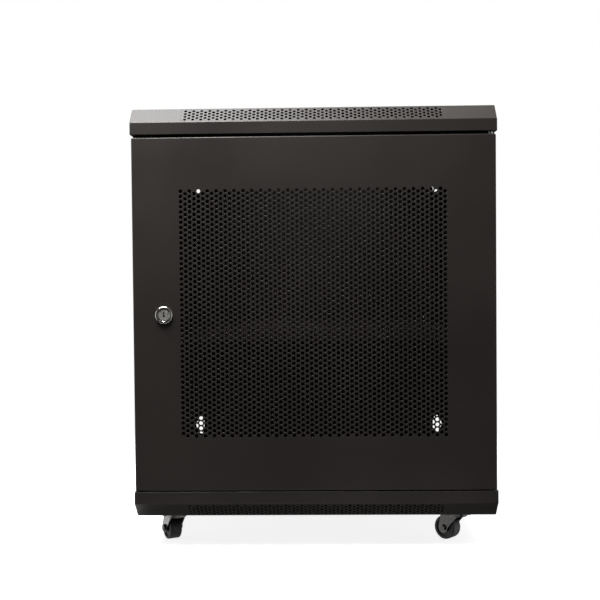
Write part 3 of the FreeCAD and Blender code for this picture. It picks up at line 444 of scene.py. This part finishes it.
def door_skin(material):
    """The door: one sheet with a punched field, folded edges, and holes for lock and hinge pins."""
    low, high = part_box("door_panel")
    work = bmesh.new()
    border = hole_field(work, low.y)

    outer_ring = folded_edge(work, low, high)
    flat_inside = rounded_outline(
        high.x - BEND_RADIUS - SUPPORT_WIDTH,
        low.z + BEND_RADIUS + SUPPORT_WIDTH,
        high.z - BEND_RADIUS - SUPPORT_WIDTH,
        CORNER_RADIUS - SUPPORT_WIDTH,
    )
    inner_ring = ring(work, [(x, low.y, z) for x, z in flat_inside])
    bridge(work, inner_ring, outer_ring)

    lock = node_middle("lock_body")
    lock.y = low.y
    lock_ring = ring(work, circle(lock, X_AXIS, Z_AXIS, LOCK_HOLE_RADIUS, ROUND_STEPS))
    loops = border[:]
    for verts in (inner_ring, lock_ring):
        members = set(verts)
        loops += [edge for edge in work.edges if set(edge.verts) <= members]
    bmesh.ops.triangle_fill(work, edges=loops, use_beauty=True)

    for node, height in (("hinge_pin_upper", high.z), ("hinge_pin_lower", low.z)):
        centre = node_middle(node)
        centre.z = height
        pierce_return(work, centre)

    bmesh.ops.remove_doubles(work, verts=work.verts[:], dist=SAME_PLACE)
    bmesh.ops.recalc_face_normals(work, faces=work.faces[:])
    work.faces.ensure_lookup_table()
    if work.faces[0].normal.y > 0:
        bmesh.ops.reverse_faces(work, faces=work.faces[:])
    skin = finished_object("door_skin", work, material)
    thicken = skin.modifiers.new("sheet", "SOLIDIFY")
    thicken.thickness = SHEET
    thicken.offset = -1
    thicken.use_even_offset = True
    apply_modifiers(skin)
    skin.data.set_sharp_from_angle(angle=SHARP_ANGLE)
    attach(skin, "door")
    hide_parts("door_panel")


# ---------------------------------------------------------------- hinge spring
def hinge_spring(material):
    """A compression spring of round wire with closed ends, around the sprung hinge pin."""
    low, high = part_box("hinge_spring")
    centre = (low + high) / 2
    bottom = low.z + WIRE_RADIUS
    length = high.z - low.z - 2 * WIRE_RADIUS
    steps = SPRING_TURNS * TURN_STEPS
    work = bmesh.new()
    loops = []
    for step in range(steps + 1):
        turn = step / TURN_STEPS
        angle = 2 * math.pi * turn
        outward = Vector((math.cos(angle), math.sin(angle), 0))
        climb = (turn - SPRING_FLAT_TURNS) / (SPRING_TURNS - 2 * SPRING_FLAT_TURNS)
        climb = min(max(climb, 0), 1)
        place = Vector((centre.x, centre.y, bottom + climb * length)) + outward * SPRING_RADIUS
        places = circle(place, outward, Z_AXIS, WIRE_RADIUS, WIRE_CORNERS)
        loops.append([work.verts.new(corner) for corner in places])
    for one, two in zip(loops, loops[1:]):
        bridge(work, one, two)
    work.faces.new(loops[0][::-1])
    work.faces.new(loops[-1])
    bmesh.ops.recalc_face_normals(work, faces=work.faces[:])
    spring = finished_object("hinge_spring_coil", work, material)
    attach(spring, "door")
    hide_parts("hinge_spring")
    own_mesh(spring)


# ---------------------------------------------------------------- studio
def floor():
    """A round pale floor that fades out into the white backdrop."""
    m = Nodes("studio_floor")
    mottle = m.noise(scale=3, detail=3)
    colour = m.blend(mottle, (0.84, 0.84, 0.84), (0.88, 0.88, 0.88))
    distance = m.add("ShaderNodeVectorMath", operation="LENGTH")
    m.feed(distance, Vector=m.place)
    fade = m.spread(distance.outputs["Value"], 1, 0, FLOOR_SOLID, FLOOR_RADIUS)
    m.feed(m.shader, Base_Color=colour, Roughness=0.7, Alpha=fade)
    m.feed(m.shader, Emission_Color=(1, 1, 1, 1), Emission_Strength=FLOOR_GLOW)
    work = bmesh.new()
    bmesh.ops.create_circle(work, cap_ends=True, radius=FLOOR_RADIUS, segments=FLOOR_STEPS)
    plane = finished_object("studio_floor", work, m.material)
    plane.visible_diffuse = False
    plane.visible_glossy = False


def softbox(name, place, target, width, length, power):
    """A rectangular area light at place that faces target."""
    light = bpy.data.lights.new(name, "AREA")
    light.shape = "RECTANGLE"
    light.size = width
    light.size_y = length
    light.energy = power
    lamp = bpy.data.objects.new(name, light)
    lamp.visible_camera = False
    bpy.context.scene.collection.objects.link(lamp)
    lamp.location = place
    lamp.rotation_euler = (Vector(target) - Vector(place)).to_track_quat("-Z", "Y").to_euler()


def floor_card(name, x, y, width, length, power):
    """A light that lies on the floor at (x, y) and shines up, as a pale floor does."""
    softbox(name, (x, y, CARD_HEIGHT), (x, y, 1), width, length, power)


def surroundings():
    """A white backdrop for the camera, which lights the object dimly, but more from the sides."""
    world = bpy.data.worlds.new("studio")
    bpy.context.scene.world = world
    world.use_nodes = True
    tree = world.node_tree
    background = tree.nodes["Background"]
    background.inputs["Color"].default_value = (1, 1, 1, 1)
    place = tree.nodes.new("ShaderNodeTexCoord")
    axes = tree.nodes.new("ShaderNodeSeparateXYZ")
    sideways = tree.nodes.new("ShaderNodeMath")
    sideways.operation = "ABSOLUTE"
    walls = tree.nodes.new("ShaderNodeMapRange")
    walls.inputs["From Min"].default_value = SIDE_START
    walls.inputs["To Min"].default_value = FRONT_GLOW
    rays = tree.nodes.new("ShaderNodeLightPath")
    strength = tree.nodes.new("ShaderNodeMapRange")
    strength.inputs["To Max"].default_value = 1.0
    tree.links.new(place.outputs["Generated"], axes.inputs["Vector"])
    tree.links.new(axes.outputs["X"], sideways.inputs[0])
    tree.links.new(sideways.outputs["Value"], walls.inputs["Value"])
    tree.links.new(walls.outputs["Result"], strength.inputs["To Min"])
    tree.links.new(rays.outputs["Is Camera Ray"], strength.inputs["Value"])
    tree.links.new(strength.outputs["Result"], background.inputs["Strength"])


def camera():
    """The camera, at the height, distance and turn of the reference view."""
    ahead = Vector((
        -math.sin(CAMERA_YAW) * math.cos(CAMERA_PITCH),
        math.cos(CAMERA_YAW) * math.cos(CAMERA_PITCH),
        -math.sin(CAMERA_PITCH),
    ))
    level = Vector((math.cos(CAMERA_YAW), math.sin(CAMERA_YAW), 0))
    upright = level.cross(ahead)
    right = level * math.cos(CAMERA_ROLL) + upright * math.sin(CAMERA_ROLL)
    up = upright * math.cos(CAMERA_ROLL) - level * math.sin(CAMERA_ROLL)
    data = bpy.data.cameras.new("camera")
    data.lens = CAMERA_LENS
    data.sensor_width = CAMERA_SENSOR
    view = bpy.data.objects.new("camera", data)
    view.matrix_world = Matrix((right, up, -ahead)).transposed().to_4x4()
    view.location = CAMERA_PLACE
    bpy.context.scene.collection.objects.link(view)
    bpy.context.scene.camera = view


def studio():
    """The floor, the backdrop, the lights and the camera. Lights are in metres and watts."""
    bpy.context.scene.view_settings.view_transform = "Standard"
    floor()
    surroundings()
    softbox("top_box", place=(-0.8, -0.1, 2.1), target=(-0.1, -0.1, 0.7),
            width=1.6, length=1.6, power=58)
    softbox("top_fill", place=(0.75, -0.1, 2.1), target=(0.1, -0.1, 0.7),
            width=1.4, length=1.6, power=4)
    softbox("key_box", place=(-0.36, -0.8, 1.6), target=(0, -0.3, 0.75),
            width=0.6, length=0.6, power=26)
    softbox("rear_box", place=(1.6, 2.6, 2.0), target=(0, 0, 0.4),
            width=1.6, length=1.6, power=30)
    softbox("inside_fill", place=(0, 0.02, 0.62), target=(0, 0.3, 0.3),
            width=0.3, length=0.3, power=0.08)
    floor_card("left_floor", x=-0.48, y=-0.1, width=0.34, length=0.5, power=0.75)
    floor_card("front_floor", x=0, y=-0.39, width=0.6, length=0.12, power=0.16)
    floor_card("under_floor", x=0, y=0.05, width=0.7, length=0.6, power=0.4)
    camera()


def main():
    materials = {
        "black_powder_coat": powder_coat(),
        "zinc_plated_steel": zinc_plate(),
        "black_zinc_plate": black_zinc_plate(),
        "satin_nickel": satin_nickel(),
        "chrome_plate": chrome_plate(),
        "black_nylon": moulded_nylon(),
        "black_rubber": soft_rubber(),
        "black_oxide_screw": black_oxide(),
    }
    paint_nodes(materials)
    door_skin(materials["black_powder_coat"])
    hinge_spring(materials["zinc_plated_steel"])
    studio()


main()
